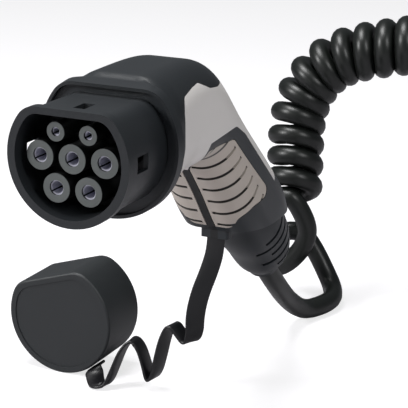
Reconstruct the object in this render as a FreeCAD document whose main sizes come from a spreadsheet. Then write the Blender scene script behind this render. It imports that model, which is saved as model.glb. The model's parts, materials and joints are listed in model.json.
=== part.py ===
import FreeCAD, Part
import Sketcher
import math
import os

# Electric vehicle charging connector on a curly cable, with its protective cap on a strap.
# Millimetres. The origin is the middle of the nose's front rim, on the earth contact's axis.
# The nose points along -Y, +Z is up and the handle goes back and down.

os.makedirs("parts", exist_ok=True)
doc = FreeCAD.newDocument("charging_cable")
Vector = FreeCAD.Vector
Rotation = FreeCAD.Rotation
Placement = FreeCAD.Placement
X_AXIS = Vector(1, 0, 0)
Y_AXIS = Vector(0, 1, 0)
Z_AXIS = Vector(0, 0, 1)
ALONG_Y = Rotation(X_AXIS, -90)
ALONG_X = Rotation(Y_AXIS, 90)
CUTTER_SPAN = 200

# Driving dimensions

SIZES = {
    "nose_radius": 30.5, "nose_flat": 22.5, "nose_corner": 10, "nose_length": 44,
    "rim_radius": 32, "rim_flat": 23.8, "rim_corner": 11, "rim_width": 5.5,
    "mouth_radius": 28, "mouth_flat": 20.5, "mouth_corner": 8,
    "lip_radius": 23.8, "lip_flat": 17, "lip_corner": 7, "lip_length": 3,
    "top_window_width": 6, "side_window_height": 8, "window_length": 10.5, "window_centre": 16.3,
    "power_pitch": 17, "lower_row_drop": 14.7, "pilot_rise": 12,
    "power_tower_radius": 7, "pilot_tower_radius": 4.6, "tower_front": 4.5, "recess_depth": 28,
    "power_bore_radius": 3, "power_sleeve_radius": 3.6, "power_bore_depth": 26,
    "pilot_bore_radius": 1.5, "pilot_sleeve_radius": 2.1, "pilot_bore_depth": 20,
    "contact_recess": 1, "contact_flange_length": 3, "contact_flange_step": 1.4, "crimp_length": 15,
    "contact_slot_width": 0.8, "contact_slot_length": 18, "contact_slot_turn": 35,
    "fit_gap": 0.1, "slide_gap": 0.2,
    "collar_radius": 41.4, "collar_flat": 31, "collar_corner": 15, "collar_front": 30, "collar_back": 38,
    "groove_radius": 39.6, "groove_flat": 29.2, "groove_corner": 13, "groove_floor": 36,
    "collar_root_radius": 33, "collar_root_flat": 30, "collar_root_corner": 16, "collar_root": 45,
    "seal_length": 2.5, "bulkhead": 3, "hatch_radius": 22.5, "hatch_flat": 16, "hatch_corner": 6,
    "neck_half_width": 31.4, "neck_top": 31.9, "neck_bottom": 31.4,
    "grip_half_width": 25.5, "grip_back": 28.4, "grip_waist": 14.5, "grip_swell": 21,
    "handle_angle": 43, "elbow_back": 150, "elbow_drop": 40, "handle_end_drop": 77.5,
    "shell_wall": 3, "pad_depth": 2.4, "pad_gap": 0.5, "pad_backing": 2, "ridge_depth": 1.2,
    "ridge_width": 2.2, "ridge_pitch": 10.6, "spine_half_width": 2.3,
    "boot_radius": 21, "boot_slot_width": 2.3, "boot_slot_pitch": 7, "boot_slot_depth": 5,
    "cable_radius": 6.5, "core_radius": 1.6, "pilot_core_radius": 1.2, "core_bundle": 0.215,
    "clamp_start": 18, "clamp_length": 8, "clamp_width": 30, "clamp_middle": 6.7, "saddle_height": 9,
    "clamp_screw_pitch": 21, "grommet_radius": 12, "grommet_length": 4, "curl_radius": 19.25,
    "screw_radius": 1.5, "screw_head_radius": 2.4, "screw_head_height": 2, "screw_reach": 9,
    "nose_screw_circle": 25.7, "resistor_radius": 1.3, "resistor_length": 4.8, "resistor_lead": 0.4,
    "cap_radius": 34.5, "cap_flat": 27, "cap_corner": 13, "cap_depth": 36, "cap_wall": 2.2, "cap_roll": 17.7,
    "cap_edge": 1.5, "cap_border": 4, "cap_panel_depth": 0.6, "cap_side": 99, "cap_back": 154,
    "floor_drop": 182,
    "stud_turn": 38, "stud_place": 6, "stud_radius": 2, "stud_head_radius": 4, "stud_head_length": 1.5,
    "strap_width": 11, "strap_thickness": 1.8, "strap_standoff": 0.8,
    "clip_width": 17, "clip_depth": 6, "clip_height": 5.5, "clip_wall": 1.7, "clip_back": 163,
    "gland_thread_radius": 12.5, "gland_thread_length": 14, "gland_hex": 33, "gland_collar": 6,
    "gland_start": 132, "gland_back": 340, "gland_rise": 8, "gland_bore": 8, "spigot_wall": 2,
    "spigot_length": 11, "gland_seal_length": 11, "locknut_length": 5, "panel_space": 4,
    "dome_radius": 15.5, "dome_mouth": 11.5, "dome_length": 18, "dome_nose": 5, "dome_bore": 7,
    "curl_end": 106, "tail_end": 166,
}

sheet = doc.addObject("Spreadsheet::Sheet", "Sizes")
for row, (name, value) in enumerate(SIZES.items(), start=1):
    sheet.set("A%d" % row, name)
    sheet.set("B%d" % row, str(value))
    sheet.setAlias("B%d" % row, name)
doc.recompute()


def size(name):
    return float(sheet.get(name))


# Bound features

def bind(feature, **expressions):
    """Tie properties to the sheet. Two underscores in a name stand for a dot."""
    for prop, expression in expressions.items():
        feature.setExpression(prop.replace("__", "."), expression)
    return feature


def origin_plane(body, role):
    return next(feature for feature in body.Origin.OriginFeatures if feature.Role == role)


def constrain(sketch, constraint, expression):
    index = sketch.addConstraint(constraint)
    sketch.setExpression("Constraints[%d]" % index, expression)


def d_sketch(body, name, family, start, offset="0"):
    """A circle with a flat top and round corners, across the Y axis at a place along it."""
    big = size(family + "_radius")
    top = size(family + "_flat")
    small = size(family + "_corner")
    sketch = body.newObject("Sketcher::SketchObject", name)
    sketch.AttachmentSupport = [(origin_plane(body, "XZ_Plane"), "")]
    sketch.MapMode = "FlatFace"
    bind(sketch, AttachmentOffset__Base__z="-(%s)" % start)
    rise = top - small
    reach = math.sqrt((big - small) ** 2 - rise ** 2)
    meet = math.atan2(rise, reach)
    bow = sketch.addGeometry(Part.ArcOfCircle(
        Part.Circle(Vector(), Z_AXIS, big), math.pi - meet, 2 * math.pi + meet))
    right = sketch.addGeometry(Part.ArcOfCircle(
        Part.Circle(Vector(reach, rise), Z_AXIS, small), meet, math.pi / 2))
    line = sketch.addGeometry(Part.LineSegment(Vector(reach, top), Vector(-reach, top)))
    left = sketch.addGeometry(Part.ArcOfCircle(
        Part.Circle(Vector(-reach, rise), Z_AXIS, small), math.pi / 2, math.pi - meet))
    rule = Sketcher.Constraint
    sketch.addConstraint(rule("Coincident", bow, 3, -1, 1))
    sketch.addConstraint(rule("Tangent", bow, 2, right, 1))
    sketch.addConstraint(rule("Tangent", right, 2, line, 1))
    sketch.addConstraint(rule("Tangent", line, 2, left, 1))
    sketch.addConstraint(rule("Tangent", left, 2, bow, 1))
    sketch.addConstraint(rule("Horizontal", line))
    constrain(sketch, rule("Radius", bow, big), "Sizes.%s_radius + (%s)" % (family, offset))
    constrain(sketch, rule("Radius", right, small), "Sizes.%s_corner" % family)
    constrain(sketch, rule("Radius", left, small), "Sizes.%s_corner" % family)
    constrain(sketch, rule("DistanceY", -1, 1, line, 1, top), "Sizes.%s_flat + (%s)" % (family, offset))
    return sketch


def d_pad(body, name, family, start, length, offset="0"):
    """Add a D-shaped length that runs back from its start."""
    pad = body.newObject("PartDesign::Pad", name)
    pad.Profile = d_sketch(body, name + "_outline", family, start, offset)
    pad.Reversed = True
    return bind(pad, Length=length)


def d_pocket(body, name, family, start, length, offset="0"):
    """Cut a D-shaped length that runs back from its start."""
    pocket = body.newObject("PartDesign::Pocket", name)
    pocket.Profile = d_sketch(body, name + "_outline", family, start, offset)
    return bind(pocket, Length=length)


def d_body(name, family, start, length, offset="0"):
    body = doc.addObject("PartDesign::Body", name)
    d_pad(body, name + "_pad", family, start, length, offset)
    return body


def placed(feature, rotation, x, y, z):
    feature.Placement = Placement(Vector(), rotation)
    return bind(feature, Placement__Base__x=x, Placement__Base__y=y, Placement__Base__z=z)


def cylinder(name, rotation, radius, length, x="0", y="0", z="0"):
    feature = doc.addObject("Part::Cylinder", name)
    bind(feature, Radius=radius, Height=length)
    return placed(feature, rotation, x, y, z)


def hexagon(name, rotation, across_flats, length, x, y, z):
    feature = doc.addObject("Part::Prism", name)
    feature.Polygon = 6
    bind(feature, Circumradius="%s / 2 / cos(30)" % across_flats, Height=length)
    return placed(feature, rotation, x, y, z)


def box(name, length, width, height, x, y, z):
    feature = doc.addObject("Part::Box", name)
    bind(feature, Length=length, Width=width, Height=height)
    return placed(feature, Rotation(), x, y, z)


def fuse(name, *features):
    feature = doc.addObject("Part::MultiFuse", name)
    feature.Shapes = list(features)
    return feature


def cut(name, base, *tools):
    feature = doc.addObject("Part::Cut", name)
    feature.Base = base
    feature.Tool = tools[0] if len(tools) == 1 else fuse(name + "_tools", *tools)
    return feature


def group(name, features):
    feature = doc.addObject("Part::Compound", name)
    feature.Links = features
    return feature


def solid_feature(name, shape):
    feature = doc.addObject("Part::Feature", name)
    feature.Shape = shape
    return feature


# Outlines, tubes and places on the handle

def rounded_outline(corners):
    """A closed wire through points, each with its own rounding radius."""
    trims = []
    for i, (place, radius) in enumerate(corners):
        before = corners[i - 1][0] - place
        after = corners[(i + 1) % len(corners)][0] - place
        if not radius:
            trims.append((place, None, place))
            continue
        half_turn = (math.pi - before.getAngle(after)) / 2
        reach = radius * math.tan(half_turn)
        before.normalize()
        after.normalize()
        middle_way = before + after
        middle_way.normalize()
        depth = radius / math.cos(half_turn) - radius
        trims.append((place + before * reach, place + middle_way * depth, place + after * reach))
    edges = []
    for (start, middle, end), (next_start, _, _) in zip(trims, trims[1:] + trims[:1]):
        if middle:
            edges.append(Part.Arc(start, middle, end).toShape())
        if (next_start - end).Length > 0.001:
            edges.append(Part.LineSegment(end, next_start).toShape())
    return Part.Wire(edges)


def prism(outline, way):
    """A block that runs equally far to both sides of a flat outline."""
    face = Part.Face(outline)
    face.translate(way * -0.5)
    return face.extrude(way)


def tube(points, radius, label=""):
    """A round tube along straight runs joined by tangent arcs, each as large as its runs allow."""
    edges = []
    radii = []
    place = points[0]
    for before, corner, after in zip(points, points[1:], points[2:]):
        back = before - corner
        ahead = after - corner
        half_turn = (math.pi - back.getAngle(ahead)) / 2
        reach = 0.45 * min(back.Length, ahead.Length)
        turn_radius = reach / math.tan(half_turn)
        back.normalize()
        ahead.normalize()
        middle_way = back + ahead
        middle_way.normalize()
        depth = turn_radius / math.cos(half_turn) - turn_radius
        start = corner + back * reach
        end = corner + ahead * reach
        edges.append(Part.LineSegment(place, start).toShape())
        edges.append(Part.Arc(start, corner + middle_way * depth, end).toShape())
        radii.append(round(turn_radius, 1))
        place = end
    edges.append(Part.LineSegment(place, points[-1]).toShape())
    path = Part.Wire(edges)
    ring = Part.Wire(Part.makeCircle(radius, points[0], points[1] - points[0]))
    solid = path.makePipeShell([ring], True, False)
    if label:
        print(label, "radii", radii, "volume", round(solid.Volume), "section times length",
              round(math.pi * radius ** 2 * path.Length), "length", round(path.Length, 1))
    return solid


def handle_point(along, across, x=0):
    """A point in the handle's own directions: down its length, and up from its elbow line."""
    angle = math.radians(size("handle_angle"))
    return Vector(x,
                  size("elbow_back") + along * math.cos(angle) + across * math.sin(angle),
                  -size("elbow_drop") - along * math.sin(angle) + across * math.cos(angle))


def handle_frame(along, across, x=0):
    """A frame on the handle: Z runs down its length and Y points at its finger side."""
    return Placement(handle_point(along, across, x), Rotation(X_AXIS, -90 - size("handle_angle")))


def handle_prism(corners):
    """A cutter right through the handle from side to side, from an outline seen from the side."""
    spots = [(handle_point(along, across), radius) for along, across, radius in corners]
    return prism(rounded_outline(spots), X_AXIS * CUTTER_SPAN)


HANDLE_WAY = handle_point(1, 0) - handle_point(0, 0)
HANDLE_UP = handle_point(0, 1) - handle_point(0, 0)
LEAD_ROUTE = [
    handle_point(14, 6.5), handle_point(48, 7), handle_point(82, 5.4), handle_point(116, -3),
    Vector(0, 254, -142), Vector(0, 279, -161), Vector(0, 303, -175.5), Vector(2, 325, -175.5),
    Vector(2, 343.5, -169), Vector(-6, 353, -155), Vector(-16.5, 353.5, -140), Vector(-20.7, 351.4, -123),
]
CURL_ROUTE = [
    Vector(-12.2, 342.9, -121.95), Vector(-16.4, 340.8, -104.95), Vector(-19, 340, -81),
    Vector(-17, 340, -50), Vector(3, 340, -17), Vector(64, size("gland_back"), size("gland_rise")),
    Vector(size("curl_end"), size("gland_back"), size("gland_rise")),
]
JACKET = tube(LEAD_ROUTE, size("cable_radius"), "cable_lead")
JACKET_SPACE = tube(LEAD_ROUTE, size("cable_radius") + size("fit_gap"))


# Nose and contacts

SCREW_ANGLES = (-150, -90, -30)
POWER_CONTACTS = {
    "earth_contact": ("0", "0"),
    "neutral_contact": ("-Sizes.power_pitch", "0"),
    "line_one_contact": ("Sizes.power_pitch", "0"),
    "line_two_contact": ("Sizes.power_pitch / 2", "-Sizes.lower_row_drop"),
    "line_three_contact": ("-Sizes.power_pitch / 2", "-Sizes.lower_row_drop"),
}
PILOT_CONTACTS = {
    "proximity_contact": ("-Sizes.power_pitch / 2", "Sizes.pilot_rise"),
    "control_pilot_contact": ("Sizes.power_pitch / 2", "Sizes.pilot_rise"),
}
CONTACTS = [(name, "power", x, z) for name, (x, z) in POWER_CONTACTS.items()]
CONTACTS += [(name, "pilot", x, z) for name, (x, z) in PILOT_CONTACTS.items()]
FLANGE_START = "(Sizes.nose_length - Sizes.lip_length - Sizes.contact_flange_length)"
SLEEVE_FRONT = "(Sizes.tower_front + Sizes.contact_recess)"
BULKHEAD_BACK = "(Sizes.nose_length + Sizes.bulkhead)"


def screw_cylinders(name, radius, start, length):
    """One cylinder at each of the screws that hold the carrier."""
    return [cylinder("%s_%d" % (name, i), ALONG_Y, radius, length,
                     "Sizes.nose_screw_circle * cos(%d)" % angle, start,
                     "Sizes.nose_screw_circle * sin(%d)" % angle)
            for i, angle in enumerate(SCREW_ANGLES)]


def nose_shroud():
    """The D-shaped tube that enters the car's inlet, with a thick rim and the lock's windows."""
    body = d_body("nose", "nose", "0", "Sizes.nose_length")
    d_pad(body, "rim", "rim", "0", "Sizes.rim_width")
    d_pocket(body, "mouth", "mouth", "0", "Sizes.nose_length - Sizes.lip_length")
    d_pocket(body, "rear_lip", "lip", "0", "Sizes.nose_length + 1")
    window_start = "Sizes.window_centre - Sizes.window_length / 2"
    top_window = box("top_window", "Sizes.top_window_width", "Sizes.window_length", "Sizes.nose_radius",
                     "-Sizes.top_window_width / 2", window_start, "Sizes.mouth_flat - 2")
    side_windows = box("side_windows", "4 * Sizes.nose_radius", "Sizes.window_length",
                       "Sizes.side_window_height", "-2 * Sizes.nose_radius", window_start,
                       "-1 - Sizes.side_window_height / 2")
    holes = screw_cylinders("nose_screw_hole", "Sizes.screw_radius + Sizes.fit_gap",
                            "Sizes.nose_length - Sizes.lip_length - 1", "Sizes.lip_length + 2")
    return cut("nose_with_windows", body, top_window, side_windows, *holes)


def contact_carrier():
    """The base that fills the nose behind the towers, with a seat for each contact's flange."""
    base = d_body("carrier_base", "mouth", "Sizes.recess_depth",
                  "Sizes.nose_length - Sizes.lip_length - Sizes.recess_depth", "-Sizes.slide_gap")
    holes = screw_cylinders("carrier_screw_hole", "Sizes.screw_radius + Sizes.fit_gap",
                            "Sizes.nose_length - Sizes.lip_length - Sizes.screw_reach",
                            "Sizes.screw_reach + 1")
    for name, kind, x, z in CONTACTS:
        sleeve = "Sizes.%s_sleeve_radius" % kind
        holes.append(cylinder(name + "_hole", ALONG_Y, sleeve + " + Sizes.fit_gap", "Sizes.nose_length",
                              x, "Sizes.recess_depth - 1", z))
        holes.append(cylinder(name + "_seat", ALONG_Y,
                              sleeve + " + Sizes.contact_flange_step + Sizes.fit_gap",
                              "Sizes.contact_flange_length + 1", x, FLANGE_START, z))
    return cut("carrier_with_holes", base, *holes)


def contact_tower(name, kind, x, z):
    """The insulating tube round a contact's sleeve: it stands on the carrier's base."""
    length = "Sizes.recess_depth - Sizes.tower_front"
    wall = cylinder(name + "_wall", ALONG_Y, "Sizes.%s_tower_radius" % kind, length,
                    x, "Sizes.tower_front", z)
    room = cylinder(name + "_room", ALONG_Y, "Sizes.%s_sleeve_radius + Sizes.fit_gap" % kind,
                    length + " + 2", x, "Sizes.tower_front - 1", z)
    return cut(name + "_tube", wall, room)


def contact(name, kind, x, z):
    """A split sleeve in front, a flange, and a crimp barrel for the conductor behind."""
    sleeve_radius = "Sizes.%s_sleeve_radius" % kind
    core_radius = "Sizes.core_radius" if kind == "power" else "Sizes.pilot_core_radius"
    flange_back = FLANGE_START + " + Sizes.contact_flange_length"
    sleeve = cylinder(name + "_sleeve", ALONG_Y, sleeve_radius,
                      "%s + Sizes.crimp_length - %s" % (flange_back, SLEEVE_FRONT), x, SLEEVE_FRONT, z)
    flange = cylinder(name + "_flange", ALONG_Y, sleeve_radius + " + Sizes.contact_flange_step",
                      "Sizes.contact_flange_length", x, FLANGE_START, z)
    bore = cylinder(name + "_bore", ALONG_Y, "Sizes.%s_bore_radius" % kind,
                    "Sizes.%s_bore_depth + 1" % kind, x, SLEEVE_FRONT + " - 1", z)
    crimp = cylinder(name + "_crimp", ALONG_Y, core_radius + " + Sizes.fit_gap", "Sizes.crimp_length",
                     x, "Sizes.nose_length", z)
    turn = size("contact_slot_turn")
    half = "(%s + 1)" % sleeve_radius
    slot = doc.addObject("Part::Box", name + "_slot")
    bind(slot, Length="2 * " + half, Width="Sizes.contact_slot_length + 1", Height="Sizes.contact_slot_width")
    placed(slot, Rotation(Y_AXIS, -turn),
           "%s - %s * cos(%g) + Sizes.contact_slot_width / 2 * sin(%g)" % (x, half, turn, turn),
           SLEEVE_FRONT + " - 1",
           "%s - %s * sin(%g) - Sizes.contact_slot_width / 2 * cos(%g)" % (z, half, turn, turn))
    return cut(name + "_split", fuse(name + "_solid", sleeve, flange), bore, crimp, slot)


def contact_retainer():
    """The plate behind the carrier that keeps every contact's flange in its seat."""
    plate = d_body("retainer_plate", "lip", "Sizes.nose_length - Sizes.lip_length", "Sizes.lip_length",
                   "-Sizes.slide_gap")
    holes = [cylinder(name + "_rear_hole", ALONG_Y, "Sizes.%s_sleeve_radius + Sizes.slide_gap" % kind,
                      "Sizes.nose_length", x, "Sizes.recess_depth", z)
             for name, kind, x, z in CONTACTS]
    return cut("retainer_with_holes", plate, *holes)


def carrier_screws():
    """Three screws that pull the carrier to the bulkhead, with the nose's lip between them."""
    reach = "(Sizes.screw_reach - 1)"
    shanks = screw_cylinders("carrier_shank", "Sizes.screw_radius",
                             "Sizes.nose_length - Sizes.lip_length - " + reach,
                             reach + " + Sizes.lip_length + Sizes.bulkhead + 1")
    heads = screw_cylinders("carrier_head", "Sizes.screw_head_radius", BULKHEAD_BACK,
                            "Sizes.screw_head_height")
    screws = [fuse("carrier_screw_%d" % i, shank, head) for i, (shank, head) in enumerate(zip(shanks, heads))]
    return group("carrier_screw_set", screws)


def nose_seal():
    """The gasket that lies on the collar groove's floor, round the nose."""
    ring = d_body("seal_ring", "groove", "Sizes.groove_floor - Sizes.seal_length", "Sizes.seal_length",
                  "-Sizes.fit_gap")
    hole = d_body("seal_hole", "nose", "Sizes.groove_floor - Sizes.seal_length - 1",
                  "Sizes.seal_length + 2", "Sizes.fit_gap")
    return cut("seal_with_hole", ring, hole)


def coding_resistor():
    """The resistor between the proximity and earth contacts, which tells the car the cable's rating."""
    y = "Sizes.nose_length + Sizes.resistor_radius"
    z = "Sizes.pilot_rise"
    lead_start = "-Sizes.power_pitch / 2 + Sizes.pilot_sleeve_radius"
    body = cylinder("resistor_body", ALONG_X, "Sizes.resistor_radius", "Sizes.resistor_length",
                    lead_start + " + 1", y, z)
    across = cylinder("resistor_lead_across", ALONG_X, "Sizes.resistor_lead",
                      "Sizes.power_pitch / 2 - Sizes.pilot_sleeve_radius + Sizes.resistor_lead",
                      lead_start, y, z)
    down = cylinder("resistor_lead_down", Rotation(), "Sizes.resistor_lead",
                    "Sizes.pilot_rise - Sizes.power_sleeve_radius", "0", y, "Sizes.power_sleeve_radius")
    return fuse("resistor_with_leads", body, across, down)


# The outer form that the head, cover, frame and pads share

def form_section(place, lean, up, down, side, top_corner, bottom_corner):
    """A rounded rectangle across the connector, leaning with it."""
    lean = math.radians(lean)
    upward = Vector(0, math.sin(lean), math.cos(lean))
    corners = [(side, up, top_corner), (-side, up, top_corner),
               (-side, -down, bottom_corner), (side, -down, bottom_corner)]
    return rounded_outline([(place + X_AXIS * x + upward * height, radius) for x, height, radius in corners])


def form(inset=0):
    """The loft from the collar to the handle's end, inset by a wall's thickness.

    Each row holds a place, the share of the handle's lean, the reach up, down and sideways,
    and the corner radii at the top and the bottom.
    """
    side = size("neck_half_width")
    top = size("neck_top")
    bottom = size("neck_bottom")
    half = size("grip_half_width")
    back = size("grip_back")
    waist = size("grip_waist")
    swell = size("grip_swell")
    rows = [
        (Vector(0, 36, 0), 0, top - 1.5, bottom + 4.6, side + 4.6, 24, 34),
        (Vector(0, 46, 0), 0, top - 0.8, bottom + 2.2, side + 1.8, 23, 32),
        (Vector(0, 58, 0), 0, top - 0.2, bottom, side, 22, 30.5),
        (Vector(0, 70, 0), 0, top, bottom - 1.6, side - 1.6, 20, 28.5),
        (Vector(0, 81, 0), 0.2, top + 0.6, bottom - 3.4, side - 3, 19, 26.5),
        (Vector(0, 91.5, 0), 0.56, top + 0.9, bottom - 3.9, side - 4, 18.5, 23),
        (Vector(0, 103.5, -6), 0.84, top + 0.9, bottom - 7.9, side - 4.8, 18.2, 20),
        (handle_point(-40, 0), 1, back - 1.9, waist + 1.5, half + 0.5, 18, 18.5),
        (handle_point(-22, 0), 1, back - 1.6, waist, half, 18, 17.5),
        (handle_point(2, 0), 1, back - 0.8, waist + 2.7, half, 18, 17),
        (handle_point(27, 0), 1, back, swell, half + 0.2, 18, 17),
        (handle_point(42, 0), 1, back + 0.4, swell, half + 0.2, 18, 17),
        (handle_point(58, 0), 1, back + 0.8, swell - 2, half - 0.2, 18.5, 17.5),
        (handle_point(94, 0), 1, back + 1, swell - 6, half - 1.3, 20, 17.5),
    ]
    return Part.makeLoft([
        form_section(place, lean * size("handle_angle"), up - inset, down - inset, reach - inset,
                     top_corner - inset, bottom_corner - inset)
        for place, lean, up, down, reach, top_corner, bottom_corner in rows], True, False)


def head_zone():
    """The dark head as seen from the side, with its lobe over the handle's back."""
    corners = [(20, 70, 0), (140, 70, 0), (131, 26, 0), (122.5, 17.6, 8), (106, 17.2, 5), (95, 18.6, 6),
               (83, 23.4, 4), (75, 22.6, 6), (62.5, 20.4, 5), (57.5, 14, 8), (58.6, -8, 20), (60.5, -50, 0),
               (20, -50, 0)]
    outline = rounded_outline([(Vector(0, y, z), radius) for y, z, radius in corners])
    return prism(outline, X_AXIS * CUTTER_SPAN)


def throat_zone(start):
    """The tongue of the light cover below the neck, as seen square to the handle's finger side."""
    corners = [(1.5, start, 0), (10, start - 16, 15), (28, start - 35, 0), (60, start - 70, 0)]
    corners += [(-x, along, radius) for x, along, radius in reversed(corners)]
    outline = rounded_outline([(handle_point(along, 0, x), radius) for x, along, radius in corners])
    return prism(outline, HANDLE_UP * CUTTER_SPAN)


def frame_zone():
    """The dark handle frame: a pointed border round the pads that widens to the handle's end."""
    corners = [(-90, -47.8, 0), (-35.5, 9.6, 8), (-20, 14, 20), (35, 15.6, 0), (42, 34, 0), (130, 60, 0),
               (130, -90, 0), (-90, -90, 0)]
    return handle_prism(corners).cut(throat_zone(-24.5))


def pad_zone(margin=0.0):
    """The grip pads inside the border, with a margin where their backing reaches past them."""
    corners = [(-90, -50.4 + margin, 0), (-33, 3.6 + margin, 6), (33 + margin, 7.6 + margin, 4),
               (20 + margin, -9.5 - margin, 6), (20.5 + margin, -17.5, 4), (31 + margin, -22.2, 0),
               (31 + margin, -90, 0), (-90, -90, 0)]
    return handle_prism(corners).cut(throat_zone(-23 - margin))


def ridge_grooves(depth_form):
    """The cross grooves of the pads: wide on the sides, fine under the fingers, none at the spine."""
    width = size("ridge_width")
    grooves = []
    for i in range(6):
        along = -28 + i * size("ridge_pitch")
        grooves.append(handle_prism([(along - width / 2, 1.3, 0), (along + width / 2, 1.3, 0),
                                     (along + width / 5, -90, 0), (along - width / 5, -90, 0)]))
    middle = Part.makeBox(9, 2 * CUTTER_SPAN, 2 * CUTTER_SPAN, Vector(-4.5, 0, -CUTTER_SPAN))
    return Part.makeCompound(grooves).cut(middle).cut(depth_form)


def below(drop):
    """Everything lower than a level under the nose's axis."""
    return Part.makeBox(CUTTER_SPAN, 2 * CUTTER_SPAN, CUTTER_SPAN,
                        Vector(-CUTTER_SPAN / 2, 0, -drop - CUTTER_SPAN))


def behind(place):
    """Everything further back than a place."""
    return Part.makeBox(CUTTER_SPAN, 2 * CUTTER_SPAN, 2 * CUTTER_SPAN,
                        Vector(-CUTTER_SPAN / 2, place, -CUTTER_SPAN))


OUTER = form()
HOLLOW = form(size("shell_wall"))


def head_housing():
    """The head: a collar round the nose, a groove for the inlet's edge, a bulkhead and the neck's top."""
    collar = d_body("collar", "collar", "Sizes.collar_front", "Sizes.collar_back - Sizes.collar_front")
    taper = collar.newObject("PartDesign::AdditiveLoft", "collar_taper")
    taper.Profile = d_sketch(collar, "taper_front", "collar", "Sizes.collar_back")
    taper.Sections = [d_sketch(collar, "taper_back", "collar_root", "Sizes.collar_root")]
    taper.Ruled = True
    neck = solid_feature("neck", OUTER.common(head_zone()))
    cavity = solid_feature("neck_hollow", HOLLOW.common(behind(size("nose_length") + size("bulkhead"))))
    groove = d_body("collar_groove", "groove", "Sizes.collar_front - 1",
                    "Sizes.groove_floor - Sizes.collar_front + 1")
    socket = d_body("nose_socket", "nose", "Sizes.collar_front", "Sizes.nose_length - Sizes.collar_front",
                    "Sizes.fit_gap")
    hatch = d_body("bulkhead_hatch", "hatch", "Sizes.nose_length - 1", "Sizes.bulkhead + 2")
    holes = screw_cylinders("bulkhead_screw_hole", "Sizes.screw_radius + Sizes.fit_gap",
                            "Sizes.nose_length - 1", "Sizes.bulkhead + 2")
    return cut("head_hollowed", fuse("head_solid", collar, neck), cavity, groove, socket, hatch, *holes)


def grip_cover():
    """The light shell under the neck and over the handle's back."""
    return OUTER.cut(HOLLOW).cut(head_zone()).cut(frame_zone())


def pad_space(gap=0.0):
    """The recess for both pads, on either side of the spine, less a gap at its rim."""
    half_spine = size("spine_half_width") + gap
    spine = Part.makeBox(2 * half_spine, 2 * CUTTER_SPAN, 2 * CUTTER_SPAN,
                         Vector(-half_spine, 0, -CUTTER_SPAN))
    oversize = form(-2)
    return oversize.cut(form(size("pad_depth"))).common(pad_zone(-gap)).cut(spine)


def grip_pads():
    """Both soft pads, the right one first."""
    pads = OUTER.common(pad_space(size("pad_gap"))).cut(ridge_grooves(form(size("ridge_depth"))))
    return sorted(pads.Solids, key=lambda solid: -solid.CenterOfMass.x)


def grip_frame():
    """The dark frame: the pads' backing and border, the spine, and the handle's end wall."""
    backed = form(size("pad_depth") + size("pad_backing"))
    cavity = HOLLOW.cut(pad_zone(1.5)).fuse(backed)
    cavity = cavity.cut(below(size("handle_end_drop") - size("shell_wall")))
    solid = OUTER.common(frame_zone()).cut(head_zone())
    solid = solid.cut(below(size("handle_end_drop")))
    return solid.cut(cavity).cut(pad_space()).cut(boot_form(size("fit_gap")))


# Strain relief and what holds the cable

BOOT_TOP = 34


def boot_form(margin=0.0):
    """The boot's outer form: a straight sleeve that bends and narrows along the cable.

    Each row holds a place in the handle's directions, the radius less the boot's own, and a lean.
    """
    rows = [(BOOT_TOP, 4, -3.8, 0), (48, 4.6, -2.4, 0), (62, 5.2, -1, 0), (76, 5.6, -0.3, 0),
            (90, 6, -1, 1), (102, 4.2, -2.6, 4), (110, 1.6, -6, 9), (116, -2.4, -11, 13)]
    rings = []
    for along, across, less, lean in rows:
        way = Rotation(X_AXIS, -lean).multVec(HANDLE_WAY)
        rings.append(Part.Wire(Part.makeCircle(size("boot_radius") + less + margin,
                                               handle_point(along, across), way)))
    return Part.makeLoft(rings, True, False)


def slot_ring(along, across, turn):
    """A pair of slots on opposite sides of the boot."""
    reach = size("boot_radius") + 5
    width = size("boot_slot_width")
    sector = 106
    wedges = []
    for start in (turn - sector / 2, turn + 180 - sector / 2):
        wedge = Part.makeCylinder(reach, width, Vector(), Z_AXIS, sector)
        wedge.rotate(Vector(), Z_AXIS, start)
        wedges.append(wedge)
    ring = Part.makeCompound(wedges)
    ring = ring.cut(Part.makeCylinder(size("boot_radius") - size("boot_slot_depth"), width))
    ring.Placement = handle_frame(along, across)
    return ring


def strain_relief():
    """The rubber boot: slotted so that it bends, and bored along the cable's own path."""
    shape = boot_form().cut(JACKET_SPACE)
    for i in range(5):
        shape = shape.cut(slot_ring(73 + i * size("boot_slot_pitch"), 5.8, 12 if i % 2 else -12))
    return shape


def clamp_block(low, high):
    """A block across the handle at the clamp, between two heights over the elbow line."""
    block = Part.makeBox(size("clamp_width"), high - low, size("clamp_length"),
                         Vector(-size("clamp_width") / 2, -high, 0))
    block.Placement = handle_frame(size("clamp_start"), 0)
    return block


def clamp_hole(radius, low, high, side):
    """A cylinder across the clamp at one of its screws."""
    hole = Part.makeCylinder(radius, high - low, Vector(0, -high, 0), Y_AXIS)
    hole.Placement = handle_frame(size("clamp_start") + size("clamp_length") / 2, 0,
                                  side * size("clamp_screw_pitch") / 2)
    return hole


def clamp_base():
    """The cradle below the cable, seated on the frame's inner face."""
    middle = size("clamp_middle")
    seat = form(size("pad_depth") + size("pad_backing") + size("fit_gap"))
    base = clamp_block(-30, middle).common(seat).cut(JACKET_SPACE)
    for side in (-1, 1):
        base = base.cut(clamp_hole(size("screw_radius") + size("fit_gap"), middle - size("screw_reach"),
                                   middle, side))
    return base


def clamp_saddle():
    """The bar over the cable that the two screws draw down."""
    middle = size("clamp_middle")
    top = middle + size("saddle_height")
    saddle = clamp_block(middle, top).cut(JACKET_SPACE)
    for side in (-1, 1):
        saddle = saddle.cut(clamp_hole(size("screw_radius") + size("fit_gap"), middle, top, side))
    return saddle


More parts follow.
